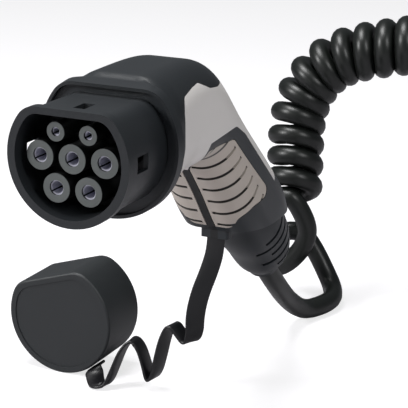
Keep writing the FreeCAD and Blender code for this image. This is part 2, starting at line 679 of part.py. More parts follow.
def clamp_screws():
    """The two screws of the saddle, with their heads on it."""
    middle = size("clamp_middle")
    top = middle + size("saddle_height")
    screws = []
    for side in (-1, 1):
        shank = clamp_hole(size("screw_radius"), middle - size("screw_reach") + 1, top + 1, side)
        head = clamp_hole(size("screw_head_radius"), top, top + size("screw_head_height"), side)
        screws.append(shank.fuse(head))
    return Part.makeCompound(screws)


def cable_seal():
    """The rubber ring on the cable between the clamp and the boot."""
    ring = Part.makeCylinder(size("grommet_radius"), size("grommet_length"))
    ring.Placement = handle_frame(BOOT_TOP - size("grommet_length"), 6.6)
    return ring.cut(JACKET_SPACE)


def core(x, z, radius):
    """One insulated core, from its contact's crimp to the bundle at the face of the cable's jacket."""
    stations = [(Vector(0, 45, 0), Z_AXIS, 1), (Vector(0, 59, 0), Z_AXIS, 1), (Vector(0, 80, -1), Z_AXIS, 0.8),
                (Vector(0, 107, -5), HANDLE_UP, 0.55), (handle_point(-16, 6.2), HANDLE_UP, 0.36),
                (LEAD_ROUTE[0] + HANDLE_WAY, HANDLE_UP, size("core_bundle"))]
    return tube([place + (X_AXIS * x + up * z) * share for place, up, share in stations], radius).cut(JACKET)


# Cap, strap and clip

def cap_wall_point(turn, radius, place):
    """A point round the cap's side: a turn from straight down, a radius and a place behind the face."""
    turn = math.radians(turn)
    return Vector(-size("cap_side") + radius * math.sin(turn), size("cap_back") + place,
                  -size("floor_drop") + size("cap_radius") - radius * math.cos(turn))


def stud_pin(radius):
    """The stud's pin, from the strap's middle through the cap's wall."""
    turn = size("stud_turn")
    start = cap_wall_point(turn, size("cap_radius") + size("strap_standoff") + size("strap_thickness") / 2,
                           size("stud_place"))
    end = cap_wall_point(turn, size("cap_radius") - size("cap_wall") - 3 * size("fit_gap"),
                         size("stud_place"))
    return Part.makeCylinder(radius, (end - start).Length, start, end - start), end, end - start


def protective_cap():
    """A D-shaped cup with a rounded face edge and a shallow panel, lying on its round side."""
    body = d_body("cap", "cap", "0", "Sizes.cap_depth")
    doc.recompute()
    pad = body.Tip
    rounding = body.newObject("PartDesign::Fillet", "cap_face_edge")
    rounding.Base = (pad, ["Edge%d" % i for i, edge in enumerate(pad.Shape.Edges, start=1)
                           if edge.BoundBox.YMax < 0.01])
    bind(rounding, Radius="Sizes.cap_edge")
    d_pocket(body, "cap_panel", "cap", "0", "Sizes.cap_panel_depth", "-Sizes.cap_border")
    d_pocket(body, "cap_mouth", "cap", "Sizes.cap_wall", "Sizes.cap_depth", "-Sizes.cap_wall")
    placed(body, Rotation(Y_AXIS, -size("cap_roll")), "-Sizes.cap_side", "Sizes.cap_back",
           "-Sizes.floor_drop + Sizes.cap_radius")
    hole = solid_feature("stud_hole", stud_pin(size("stud_radius") + size("fit_gap"))[0])
    return cut("cap_with_hole", body, hole)


# Each row holds a control point of the strap's middle line and the heading of its width there
STRAP_ROWS = [
    (0, 163, -78.6, 0), (-1, 163, -92, 4), (-8, 164.5, -114, 18), (-14.5, 168, -131, 38),
    (-15.5, 171.5, -142, 62), (-13, 173, -153.5, 88), (-20, 172.5, -153.5, 98), (-24, 171, -143.5, 99),
    (-31.5, 169.8, -143.5, 97), (-36, 169.8, -160, 98), (-40, 170.2, -181, 108), (-46.5, 166, -181, 122),
    (-49, 162, -168, 132), (-50.5, 159.8, -156.5, 137), (-55.8, 154.2, -156.5, 138), (-57.5, 152, -168, 133),
    (-60, 149.8, -181, 124), (-66.5, 147, -181, 104), (-72, 148.4, -180.5, 70), (-75.8, 152, -177.5, 30),
]


def cap_strap():
    """The flat strap: down from the clip, in waves to the floor, and to its stud in the cap's wall."""
    places = [Vector(x, y, z) for x, y, z, heading in STRAP_ROWS]
    widths = [Rotation(Z_AXIS, heading).multVec(X_AXIS) for x, y, z, heading in STRAP_ROWS]
    turn = size("stud_turn")
    middle = size("cap_radius") + size("strap_standoff") + size("strap_thickness") / 2
    for step in (-3, 1, 5):
        places.append(cap_wall_point(turn, middle, size("stud_place") + step))
        widths.append(Rotation(Y_AXIS, -turn).multVec(X_AXIS))
    middle_line = Part.BSplineCurve()
    middle_line.buildFromPoles(places, False, 2)
    width_line = Part.BSplineCurve()
    width_line.buildFromPoles(widths, False, 2)
    last = 3 * (len(places) - 2)
    marks = [mark / last for mark in range(last + 1)]
    corners = []
    for mark in marks:
        place = middle_line.value(mark)
        way = middle_line.tangent(mark)[0]
        across = width_line.value(mark)
        across = across - way * across.dot(way)
        across.normalize()
        thick = way.cross(across)
        corners.append([place + across * size("strap_width") / 2 * side + thick * size("strap_thickness") / 2 * level
                        for side, level in ((1, 1), (-1, 1), (-1, -1), (1, -1))])
    edges = []
    for points in zip(*corners):
        line = Part.BSplineCurve()
        line.interpolate(Points=list(points), Parameters=marks)
        edges.append(line.toShape())
    faces = [Part.makeLoft([edges[i - 1], edges[i]], False, True).Faces[0] for i in range(4)]
    faces += [Part.Face(Part.makePolygon(end + end[:1])) for end in (corners[0][::-1], corners[-1])]
    shell = Part.makeShell(faces)
    shell.sewShape()
    band = Part.makeSolid(shell)
    band.fix(0.001, 0.001, 0.001)
    print("cap_strap volume", round(band.Volume), "section times length",
          round(size("strap_width") * size("strap_thickness") * middle_line.length()))
    pin, end, inward = stud_pin(size("stud_radius"))
    button = Part.makeCylinder(size("stud_head_radius"), size("stud_head_length"), end, inward)
    return band.fuse(pin).fuse(button)


def strap_clip():
    """The loop under the handle's end wall that the strap hangs from."""

    def outline(half_width, half_depth, radius):
        spots = [Vector(side * half_width, size("clip_back") + level * half_depth, -size("handle_end_drop"))
                 for side, level in ((1, 1), (-1, 1), (-1, -1), (1, -1))]
        return Part.Face(rounded_outline([(spot, radius) for spot in spots]))

    wall = size("clip_wall")
    loop = outline(size("clip_width") / 2, size("clip_depth") / 2, 1.6)
    gap = outline(size("clip_width") / 2 - wall, size("clip_depth") / 2 - wall, 0.4)
    return loop.cut(gap).extrude(Z_AXIS * -size("clip_height"))


# The cable gland at the charging station's end

def gland_cylinder(name, radius, start, length):
    return cylinder(name, ALONG_X, radius, length, start, "Sizes.gland_back", "Sizes.gland_rise")


def gland_hexagon(name, start, length):
    return hexagon(name, ALONG_X, "Sizes.gland_hex", length, start, "Sizes.gland_back", "Sizes.gland_rise")


COLLAR_START = "(Sizes.gland_start + Sizes.dome_length)"
PANEL_START = "(Sizes.gland_start + Sizes.dome_length + Sizes.gland_collar)"


def gland_dome_nut():
    """The nut that presses the seal on the cable: a cone and a barrel in front of six flats."""
    cone = doc.addObject("Part::Cone", "dome_cone")
    bind(cone, Radius1="Sizes.dome_mouth", Radius2="Sizes.dome_radius", Height="Sizes.dome_nose")
    placed(cone, ALONG_X, "Sizes.gland_start", "Sizes.gland_back", "Sizes.gland_rise")
    barrel = gland_cylinder("dome_barrel", "Sizes.dome_radius", "Sizes.gland_start + Sizes.dome_nose",
                            "Sizes.dome_length - Sizes.dome_nose")
    flats = gland_hexagon("dome_flats", "Sizes.gland_start + Sizes.dome_nose + 3",
                          "Sizes.dome_length - Sizes.dome_nose - 3")
    bore = gland_cylinder("dome_hole", "Sizes.dome_bore", "Sizes.gland_start - 1", "Sizes.dome_length")
    thread = gland_cylinder("dome_thread", "Sizes.gland_thread_radius + Sizes.fit_gap",
                            "Sizes.gland_start + Sizes.dome_nose", "Sizes.dome_length")
    return cut("dome_nut_bored", fuse("dome_nut_solid", cone, barrel, flats), bore, thread)


def gland_seal():
    """The rubber ring round the cable inside the gland."""
    start = "Sizes.gland_start + Sizes.dome_nose"
    ring = gland_cylinder("gland_ring", "Sizes.gland_thread_radius - Sizes.spigot_wall - Sizes.fit_gap",
                          start, "Sizes.gland_seal_length")
    hole = gland_cylinder("gland_ring_hole", "Sizes.cable_radius + Sizes.fit_gap", start + " - 1",
                          "Sizes.gland_seal_length + 2")
    return cut("gland_ring_bored", ring, hole)


def gland_body():
    """The gland's body: a spigot in the dome nut, a hexagonal collar, and the panel's thread."""
    spigot = gland_cylinder("gland_spigot", "Sizes.gland_thread_radius",
                            COLLAR_START + " - Sizes.spigot_length",
                            "Sizes.spigot_length + Sizes.gland_collar + Sizes.gland_thread_length")
    collar = gland_hexagon("gland_flats", COLLAR_START, "Sizes.gland_collar")
    seat = gland_cylinder("gland_seat", "Sizes.gland_thread_radius - Sizes.spigot_wall",
                          "Sizes.gland_start", "Sizes.dome_nose + Sizes.gland_seal_length")
    bore = gland_cylinder("gland_through", "Sizes.gland_bore", "Sizes.gland_start", "4 * Sizes.gland_hex")
    return cut("gland_body_bored", fuse("gland_body_solid", spigot, collar), seat, bore)


def gland_locknut():
    """The nut on the panel's inside, at a panel's thickness from the collar."""
    start = PANEL_START + " + Sizes.panel_space"
    flats = gland_hexagon("locknut_flats", start, "Sizes.locknut_length")
    hole = gland_cylinder("locknut_hole", "Sizes.gland_thread_radius + Sizes.fit_gap", start + " - 1",
                          "Sizes.locknut_length + 2")
    return cut("locknut_bored", flats, hole)


# Assembly

sub_parts = {
    "nose_shroud": nose_shroud(),
    "contact_carrier": contact_carrier(),
    "contact_retainer": contact_retainer(),
    "carrier_screws": carrier_screws(),
    "nose_seal": nose_seal(),
    "coding_resistor": coding_resistor(),
    "head_housing": head_housing(),
    "gland_dome_nut": gland_dome_nut(),
    "gland_seal": gland_seal(),
    "gland_body": gland_body(),
    "gland_locknut": gland_locknut(),
    "protective_cap": protective_cap(),
    "cable_tail": gland_cylinder("tail", "Sizes.cable_radius", "Sizes.curl_end",
                                 "Sizes.tail_end - Sizes.curl_end"),
}
for name, kind, x, z in CONTACTS:
    sub_parts[name] = contact(name, kind, x, z)
    sub_parts[name.replace("_contact", "_tower")] = contact_tower(name, kind, x, z)

right_pad, left_pad = grip_pads()
pitch = size("power_pitch")
lower_row = -size("lower_row_drop")
shapes = {
    "grip_cover": grip_cover(),
    "grip_frame": grip_frame(),
    "grip_pad_right": right_pad,
    "grip_pad_left": left_pad,
    "strain_relief": strain_relief(),
    "clamp_base": clamp_base(),
    "clamp_saddle": clamp_saddle(),
    "clamp_screws": clamp_screws(),
    "cable_seal": cable_seal(),
    "earth_core": core(0, 0, size("core_radius")),
    "neutral_core": core(-pitch, 0, size("core_radius")),
    "line_one_core": core(pitch, 0, size("core_radius")),
    "line_two_core": core(pitch / 2, lower_row, size("core_radius")),
    "line_three_core": core(-pitch / 2, lower_row, size("core_radius")),
    "pilot_core": core(pitch / 2, size("pilot_rise"), size("pilot_core_radius")),
    "cap_strap": cap_strap(),
    "strap_clip": strap_clip(),
    "cable_lead": JACKET,
    "curly_cord": tube(CURL_ROUTE, size("curl_radius"), "curly_cord"),
}
for name, shape in shapes.items():
    sub_parts[name] = solid_feature(name + "_shape", shape)
for name, feature in sub_parts.items():
    feature.Label = name
doc.recompute()

for feature in doc.Objects:
    if "Invalid" in feature.State or "Error" in feature.State:
        raise RuntimeError("%s failed: %s" % (feature.Label, feature.State))
for name, feature in sub_parts.items():
    if feature.Shape.isNull() or not feature.Shape.isValid():
        raise RuntimeError(name + " has no valid shape")
for name, feature in sub_parts.items():
    feature.Shape.exportStep("parts/%s.step" % name)
print(len(sub_parts), "sub-parts written")
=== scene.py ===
# %% [markdown]
# A charging connector for an electric car lies on a pale floor: a dark nose with seven sockets, a pale
# cover over the handle's elbow, grey grip pads, a rubber boot, a curly cable, and a cap on a strap. Its
# hard pieces come as finished solids, so this lesson gives them their materials and makes the soft pieces,
# the light and the camera.

# %% Load the solids
import bpy
import bmesh
import json
import math
from mathutils import Matrix, Vector


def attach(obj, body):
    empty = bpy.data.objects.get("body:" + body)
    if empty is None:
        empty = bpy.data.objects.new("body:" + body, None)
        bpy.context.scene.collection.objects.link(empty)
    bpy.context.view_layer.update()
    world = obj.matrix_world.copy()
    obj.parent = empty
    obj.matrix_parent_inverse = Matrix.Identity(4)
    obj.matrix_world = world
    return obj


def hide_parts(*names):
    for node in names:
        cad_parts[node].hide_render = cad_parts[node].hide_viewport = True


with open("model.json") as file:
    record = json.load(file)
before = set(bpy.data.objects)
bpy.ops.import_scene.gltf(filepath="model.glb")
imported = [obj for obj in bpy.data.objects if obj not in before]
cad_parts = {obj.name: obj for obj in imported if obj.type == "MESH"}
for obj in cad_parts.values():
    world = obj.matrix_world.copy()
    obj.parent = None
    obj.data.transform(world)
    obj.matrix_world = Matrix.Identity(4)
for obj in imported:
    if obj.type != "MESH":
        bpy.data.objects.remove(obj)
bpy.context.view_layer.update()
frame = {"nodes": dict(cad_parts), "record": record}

nodes = frame["nodes"]
MM = 0.001

# %% [markdown]
# The camera stands to the right of the nose and a little above it, and turns slightly about its own line of
# sight. A Track To constraint could aim it, but would leave that turn out. A camera's matrix holds its
# right, up and back directions as columns, so three angles are enough to build it, and one matrix both
# places and aims it.

# %% Camera
CAMERA_PLACE = Vector((332, -558, 176)) * MM
AZIMUTH, ELEVATION, ROLL = (math.radians(angle) for angle in (25.24, 16.81, 0.69))
SENSOR_WIDTH, FOCAL_LENGTH = 36, 130.32
back = Vector((math.sin(AZIMUTH) * math.cos(ELEVATION), -math.cos(AZIMUTH) * math.cos(ELEVATION),
               math.sin(ELEVATION)))
level_right = Vector((0, 0, 1)).cross(back).normalized()
level_up = back.cross(level_right)
right = level_right * math.cos(ROLL) + level_up * math.sin(ROLL)
up = level_up * math.cos(ROLL) - level_right * math.sin(ROLL)
camera_data = bpy.data.cameras.new("camera")
camera_data.sensor_width = SENSOR_WIDTH
camera_data.lens = FOCAL_LENGTH
camera = bpy.data.objects.new("camera", camera_data)
bpy.context.scene.collection.objects.link(camera)
camera.matrix_world = Matrix.Translation(CAMERA_PLACE) @ Matrix((right, up, back)).transposed().to_4x4()
bpy.context.scene.camera = camera
print("the camera looks along", tuple(round(-part, 3) for part in back))

# %% [markdown]
# A cable is one smooth line with a round section. It could be a tube built ring by ring, but a NURBS spline
# with a bevel is shorter: it draws such a line from a few control points that it passes close to without
# touching. Its order is set after its points are there, or Blender keeps it at straight runs. The same
# helper draws the bare routes that other pieces follow, and reads the points along them.

# %% Smooth lines
SPLINE_ORDER = 3
CABLE_STEPS, STRAP_STEPS, CURL_STEPS = 8, 10, 24


def link(piece):
    bpy.context.scene.collection.objects.link(piece)
    return piece


def finished_mesh(piece):
    """A plain mesh of a piece, as its curve or its modifiers make it."""
    bpy.context.view_layer.update()
    return bpy.data.meshes.new_from_object(piece.evaluated_get(bpy.context.evaluated_depsgraph_get()))


def nurbs_curve(name, points, radius=0.0, steps=CABLE_STEPS):
    """A curve object of one open spline, with a round section where the radius isn't 0."""
    data = bpy.data.curves.new(name, "CURVE")
    data.dimensions = "3D"
    data.resolution_u = data.render_resolution_u = steps
    data.bevel_depth = radius
    data.bevel_resolution = 6
    data.use_fill_caps = True
    data.twist_mode = "MINIMUM"
    spline = data.splines.new("NURBS")
    spline.points.add(len(points) - 1)
    for spot, point in zip(spline.points, points):
        spot.co = (*point, 1)
    spline.order_u = SPLINE_ORDER
    spline.use_endpoint_u = True
    return link(bpy.data.objects.new(name, data))


def line_points(points, steps):
    """The points along the spline that a route's control points make."""
    route = nurbs_curve("route", points, steps=steps)
    mesh = finished_mesh(route)
    found = [vertex.co.copy() for vertex in mesh.vertices]
    bpy.data.meshes.remove(mesh)
    bpy.data.objects.remove(route)
    return found


def line_length(points):
    return sum((far - near).length for near, far in zip(points, points[1:]))


print("splines of order", SPLINE_ORDER, "with", CABLE_STEPS, "to", CURL_STEPS, "steps a point")

# %% [markdown]
# The cable leaves the boot along the handle's slope, drops to the floor and turns over itself in one loose
# loop before it climbs and curls. A simulation could drop it there, but the picture shows this one way of
# lying, so its control points are given, the first ones in the handle's own directions.

# %% The cable's way
HANDLE_SLOPE = math.radians(43)
ELBOW_BACK, ELBOW_DROP = 150, 40


def handle_point(along, across):
    """A place in the sloping handle: millimetres along it and above its middle line."""
    return Vector((0, ELBOW_BACK + along * math.cos(HANDLE_SLOPE) + across * math.sin(HANDLE_SLOPE),
                   -ELBOW_DROP - along * math.sin(HANDLE_SLOPE) + across * math.cos(HANDLE_SLOPE))) * MM


IN_HANDLE = [handle_point(14, 6.5), handle_point(48, 7), handle_point(82, 5.4), handle_point(116, -3)]
DOWN_AND_ROUND = [Vector(point) * MM for point in (
    (1, 254, -142), (-3, 283, -162), (0, 303, -175), (7, 318, -175.5), (9.5, 334, -175.5), (4, 348, -173),
    (-4, 353, -163), (-11.5, 354, -151), (-18.5, 353.5, -141), (-26, 352, -137), (-34, 349, -138),
    (-41, 343, -144), (-42, 336, -152.5), (-36, 331, -158), (-27, 328, -156.5), (-17.5, 326, -148.5),
    (-9.5, 326, -137.5), (-6.5, 325.5, -124))]
CURL_ROUTE = [Vector(point) * MM for point in (
    (-20.5, 331, -111), (-20.7, 333, -94), (-22, 336, -72), (-22.2, 338, -54.5), (-18.5, 340, -38),
    (-8, 340, -21), (8, 340, -9.5), (27, 340, -3.5), (50, 340, 1.5), (76, 340, 7), (106, 340, 8))]
INTO_GLAND = [Vector(point) * MM for point in ((112, 344, 12), (122, 340, 8), (140, 340, 8), (164, 340, 8))]
print(len(IN_HANDLE + DOWN_AND_ROUND + INTO_GLAND), "points for the cable,", len(CURL_ROUTE),
      "for the curl's middle")

# %% [markdown]
# The curly cord is the same cable wound round a second line. The Screw modifier winds only about a straight
# one. So at each step the wind keeps a direction square to the line, carried forward with as little turning
# as possible, and the cable's own place circles round it. Fourteen control points a turn keep the circles
# round. The wind goes clockwise upwards, as on the real cord. Its turns lean: the side towards the handle
# stands higher than the far side. On the outside of the bend there is air between the turns. On its inside
# they run into each other, by up to 3.7 mm. The wind's first point and last two are cut, so that the cable
# runs into it and out of it without a kink.

# %% Wind the curly cord
CABLE_RADIUS, COIL_RADIUS, PITCH = 6.5 * MM, 12.6 * MM, 14 * MM
STEPS_A_TURN = 14
CUT_AT_START, CUT_AT_END = 1, 2
LEAN = math.tan(math.radians(20))
HIGH_SIDE = Vector((0.43, -0.9, 0))
FIRST_ARM = Vector((0.75, -0.66, 0))


def along_line(points, spacing):
    """Places and directions at even distances along a row of points."""
    lengths = [0.0]
    for near, far in zip(points, points[1:]):
        lengths.append(lengths[-1] + (far - near).length)
    count = round(lengths[-1] / spacing)
    found = []
    run = 0
    for step in range(count + 1):
        reach = lengths[-1] * step / count
        while run < len(points) - 2 and lengths[run + 1] < reach:
            run += 1
        way = (points[run + 1] - points[run]).normalized()
        found.append((points[run] + way * (reach - lengths[run]), way))
    return found


curl_middle = along_line(line_points(CURL_ROUTE, CURL_STEPS), PITCH / STEPS_A_TURN)
reach = COIL_RADIUS / math.cos(math.pi / STEPS_A_TURN)
arm = FIRST_ARM
curl = []
for step, (place, way) in enumerate(curl_middle):
    arm = (arm - way * arm.dot(way)).normalized()
    angle = -2 * math.pi * step / STEPS_A_TURN
    swing = arm * math.cos(angle) + way.cross(arm) * math.sin(angle)
    curl.append(place + (swing + way * LEAN * swing.dot(HIGH_SIDE)) * reach)
cable_points = IN_HANDLE + DOWN_AND_ROUND + curl[CUT_AT_START:-CUT_AT_END] + INTO_GLAND
cable = nurbs_curve("charging_cable", cable_points, CABLE_RADIUS)
cable_length = line_length(line_points(cable_points, CABLE_STEPS))
print("turns", round(len(curl_middle) / STEPS_A_TURN, 1), "cable length", round(cable_length, 3))

# %% [markdown]
# The cap hangs on a flat rubber strap, which folds over a few times on its way down and touches the floor
# between the folds. Its way is a row of places, each with the angle that its width faces, seen from above.
# Splines run through both, so the strap bends and twists smoothly, as rubber does. Its last three places
# lie on the cap's side, over the stud that holds it.

# %% The strap's way
STRAP_ROWS = [
    (0, 163, -78.6, 0), (0, 163, -90, 2), (-3, 161, -103, 6), (-7.5, 158, -117, 12),
    (-9.5, 156, -130, 24), (-9, 155, -141, 45), (-12.5, 155, -147, 68), (-18, 156, -143, 80),
    (-24.5, 157, -136.5, 82), (-29, 157, -147, 72), (-32, 157, -160, 70), (-35, 157.5, -172, 76),
    (-39.5, 158.5, -177, 84), (-42, 158, -166, 88), (-45.5, 157.5, -155.5, 90), (-50.5, 156.5, -151.5, 92),
    (-55.5, 154, -158.5, 90), (-58.5, 150.5, -169, 88), (-61.5, 147, -179, 86), (-67, 144.5, -180.6, 66),
    (-71, 149, -180.4, 52), (-74.5, 153.5, -178.5, 44)]
CAP_MIDDLE = Vector((-99, 154, -147.5)) * MM
CAP_RADIUS, STRAP_STANDOFF = 34.5 * MM, 0.45 * MM
STRAP_WIDTH, STRAP_THICKNESS = 11 * MM, 1.8 * MM
STUD_TURN = math.radians(38)
STUD_REACH = CAP_RADIUS + STRAP_STANDOFF + 0.5 * STRAP_THICKNESS
STUD_STEPS = (3, 6, 9)
strap_places = [Vector(row[:3]) * MM for row in STRAP_ROWS]
strap_widths = [Vector((math.cos(math.radians(row[3])), math.sin(math.radians(row[3])), 0))
                for row in STRAP_ROWS]
for step in STUD_STEPS:
    strap_places.append(CAP_MIDDLE + Vector((math.sin(STUD_TURN) * STUD_REACH, step * MM,
                                             -math.cos(STUD_TURN) * STUD_REACH)))
    strap_widths.append(Vector((math.cos(STUD_TURN), 0, math.sin(STUD_TURN))))
strap_line = line_points(strap_places, STRAP_STEPS)
strap_facing = line_points(strap_widths, STRAP_STEPS)

# %% [markdown]
# The strap's section is a thin strip with rounded edges. A bevelled curve could carry it too, but its tilt
# is hard to set along folds like these. So a ring of points is placed at each step of the line, turned to
# the width's direction there, the rings are joined by faces, and both ends are closed.

# %% Make the strap
EDGE_ANGLES = (-80, -50, 0, 50, 80, 100, 130, 180, 230, 260)
half_width, half_thickness = 0.5 * STRAP_WIDTH, 0.5 * STRAP_THICKNESS
section = []
for angle in map(math.radians, EDGE_ANGLES):
    side = math.cos(angle)
    section.append((math.copysign(half_width - half_thickness * (1 - abs(side)), side),
                    half_thickness * math.sin(angle)))
mesh = bmesh.new()
rings = []
for i, (place, facing) in enumerate(zip(strap_line, strap_facing)):
    way = (strap_line[min(i + 1, len(strap_line) - 1)] - strap_line[max(i - 1, 0)]).normalized()
    across = (facing - way * facing.dot(way)).normalized()
    thick = way.cross(across)
    rings.append([mesh.verts.new(place + across * u + thick * v) for u, v in section])
for ring, following in zip(rings, rings[1:]):
    for i in range(len(section)):
        face = mesh.faces.new((ring[i - 1], ring[i], following[i], following[i - 1]))
        face.smooth = True
mesh.faces.new(rings[0])
mesh.faces.new(rings[-1][::-1])
bmesh.ops.recalc_face_normals(mesh, faces=mesh.faces)
strap_data = bpy.data.meshes.new("strap")
mesh.to_mesh(strap_data)
mesh.free()
strap = link(bpy.data.objects.new("strap", strap_data))
print("strap of", len(rings), "rings")

# %% [markdown]
# Beside the photo, the solid's collar stands too far forward and out. A lattice could pull it back, but a
# few numbers are easier to check. The head is drawn again from its solid's own mesh: each point before the
# seam moves back by an amount read off a short list of places along the nose, and the collar, with the
# groove in its front, is drawn in. The rubber ring in that groove goes along with them. Merged points and a
# sharp angle give both clean shading.

# %% Draw the collar in
COLLAR_FRONT, COLLAR_BACK, NECK_FRONT, SEAM = 30, 38, 44, 57
PLACES = [(20, 28.5), (COLLAR_FRONT, 38.5), (36, 43), (COLLAR_BACK, 44.5), (45, 50.5), (SEAM, SEAM),
          (400, 400)]
COLLAR_RADIUS, COLLAR_FLAT = 41.4 * MM, 31 * MM
COLLAR_SHARE, DRAWN_IN = 0.76, 0.095
TOP_FADE_END, TOP_FADE_LENGTH = 46, 12
SAME_POINT, SHARP_ANGLE = 0.002 * MM, math.radians(28)


def moved_back(place):
    """Where a place along the nose goes, by straight runs between the listed ones."""
    for (near, near_goal), (far, far_goal) in zip(PLACES, PLACES[1:]):
        if place < far:
            return near_goal + (place - near) * (far_goal - near_goal) / (far - near)


def drawn_again(node, name):
    """A new piece with a solid's mesh, its collar moved back and drawn in."""
    data = nodes[node].data.copy()
    data.name = name
    for vertex in data.vertices:
        x, y, z = vertex.co
        on_collar = max(math.hypot(x, z) / COLLAR_RADIUS, z / COLLAR_FLAT) > COLLAR_SHARE
        if y < NECK_FRONT * MM or (on_collar and y < SEAM * MM):
            vertex.co.y = moved_back(y / MM) * MM
        if on_collar:
            fade = min(1, max(0, (SEAM - y / MM) / (SEAM - COLLAR_BACK)))
            top_fade = min(1, max(0, (TOP_FADE_END - y / MM) / TOP_FADE_LENGTH))
            vertex.co.x = x * (1 - DRAWN_IN * fade)
            vertex.co.z = z * (1 - DRAWN_IN * (top_fade if z > 0 else fade))
    if "custom_normal" in data.attributes:
        data.attributes.remove(data.attributes["custom_normal"])
    merged = bmesh.new()
    merged.from_mesh(data)
    bmesh.ops.remove_doubles(merged, verts=merged.verts, dist=SAME_POINT)
    for face in merged.faces:
        face.smooth = True
    merged.to_mesh(data)
    merged.free()
    data.set_sharp_from_angle(angle=SHARP_ANGLE)
    return link(bpy.data.objects.new(name, data))


head = drawn_again("head_housing", "head")
collar_ring = drawn_again("nose_seal", "collar_ring")
print("head", len(head.data.vertices), "points, collar ring", len(collar_ring.data.vertices))

# %% [markdown]
# Materials and shapes are both built from nodes below, so a few helpers come first: one adds nodes by name,
# one adds the maths nodes with what they do, one draws the links, and one names a group's sockets. Colours
# are written as 0 to 255 a channel, and shaders take them on a linear scale.

# %% Helpers for node trees
def srgb(red, green, blue):
    """A colour from 0 to 255 a channel, as shaders take it."""
    return tuple(((c / 255 + 0.055) / 1.055) ** 2.4 if c > 10 else c / 255 / 12.92
                 for c in (red, green, blue)) + (1,)


def add_nodes(tree, **kinds):
    return {name: tree.nodes.new(kind) for name, kind in kinds.items()}


def colour_mix(tree, blend="MIX"):
    mix = tree.nodes.new("ShaderNodeMix")
    mix.data_type = "RGBA"
    mix.blend_type = blend
    return mix


def add_maths(tree, part, kind="ShaderNodeMath", **settings):
    """Maths nodes by name, each with what it does and the numbers that stand in its sockets."""
    for name, (operation, numbers) in settings.items():
        part[name] = tree.nodes.new(kind)
        part[name].operation = operation
        for socket, number in numbers.items():
            part[name].inputs[socket].default_value = number


def join(tree, part, *rows):
    """Links, each row from a node's output to another node's input."""
    for source, output, target, socket in rows:
        tree.links.new(part[source].outputs[output], part[target].inputs[socket])


def add_sockets(group, direction, *rows):
    """Named sockets of a node group, each with its kind and, if given, a starting value."""
    for name, kind, *start in rows:
        socket = group.interface.new_socket(name, in_out=direction, socket_type="NodeSocket" + kind)
        if start:
            socket.default_value = start[0]


print("mid grey is", round(srgb(128, 128, 128)[0], 3), "on the linear scale")

# %% [markdown]
# Moulded plastic is never one flat colour: its skin has a grain under a tenth of a millimetre high, the
# colour drifts a little from place to place, and hands polish it unevenly. An image could show that, but it
# would need every piece unwrapped. One node group makes all three from noise on the Object coordinates, in
# metres, and every finish uses it with its own values.

# %% The surface group
skin = bpy.data.node_groups.new("moulded_skin", "ShaderNodeTree")
add_sockets(skin, "INPUT",
            ("Colour", "Color", (0.5, 0.5, 0.5, 1)), ("Drift", "Float", 0.1), ("Grain Size", "Float", 0.0006),
            ("Grain Height", "Float", 0.00002), ("Gloss Change", "Float", 0.06), ("Roughness", "Float", 0.5))
add_sockets(skin, "OUTPUT", ("Colour", "Color"), ("Roughness", "Float"), ("Normal", "Vector"))
part = add_nodes(skin, ins="NodeGroupInput", outs="NodeGroupOutput", place="ShaderNodeTexCoord",
                 fine="ShaderNodeTexNoise", wide="ShaderNodeTexNoise", bump="ShaderNodeBump")
add_maths(skin, part, size=("DIVIDE", {0: 1.0}), shade=("SUBTRACT", {1: 0.5}), swing=("MULTIPLY", {}),
          lift=("ADD", {1: 1.0}), worn=("MULTIPLY", {}), polish=("ADD", {}))
part["tint"] = colour_mix(skin, "MULTIPLY")
part["tint"].inputs["Factor"].default_value = 1.0
part["fine"].inputs["Detail"].default_value = 3
for socket, value in (("Scale", 38), ("Detail", 4), ("Roughness", 0.6)):
    part["wide"].inputs[socket].default_value = value
join(skin, part,
     ("place", "Object", "fine", "Vector"), ("place", "Object", "wide", "Vector"),
     ("ins", "Grain Size", "size", 1), ("size", 0, "fine", "Scale"),
     ("fine", "Fac", "bump", "Height"), ("ins", "Grain Height", "bump", "Distance"),
     ("wide", "Fac", "shade", 0), ("shade", 0, "swing", 0), ("ins", "Drift", "swing", 1),
     ("swing", 0, "lift", 0), ("ins", "Colour", "tint", "A"), ("lift", 0, "tint", "B"),
     ("shade", 0, "worn", 0), ("ins", "Gloss Change", "worn", 1), ("worn", 0, "polish", 0),
     ("ins", "Roughness", "polish", 1), ("tint", "Result", "outs", "Colour"),
     ("polish", 0, "outs", "Roughness"), ("bump", "Normal", "outs", "Normal"))
print("skin group with", len(skin.nodes), "nodes")

# %% [markdown]
# Each finish is a material with the skin group in front of its shader. What is the same all over, such as
# metallic or sheen, is set on the shader itself. The dark plastics are bluish grey and nearly matt, the
# pale cover is smoother, the pads are warm and soft, and the cable's jacket is almost black with clear,
# narrow lights on it.

# %% Finishes
def finish(name, colour, rough=0.5, drift=0.12, grain=0.0006, height=0.00002, gloss=0.08, metal=0.0,
           sheen=0.0):
    """A material with a colour, a roughness and its own amounts of drift, grain and polish."""
    material = bpy.data.materials.new(name)
    material.use_nodes = True
    tree = material.node_tree
    shader = tree.nodes["Principled BSDF"]
    shader.inputs["Metallic"].default_value = metal
    shader.inputs["Sheen Weight"].default_value = sheen
    surface = tree.nodes.new("ShaderNodeGroup")
    surface.node_tree = skin
    for socket, value in (("Colour", srgb(*colour)), ("Drift", drift), ("Grain Size", grain),
                          ("Grain Height", height), ("Gloss Change", gloss), ("Roughness", rough)):
        surface.inputs[socket].default_value = value
    tree.links.new(surface.outputs["Colour"], shader.inputs["Base Color"])
    tree.links.new(surface.outputs["Roughness"], shader.inputs["Roughness"])
    tree.links.new(surface.outputs["Normal"], shader.inputs["Normal"])
    return material


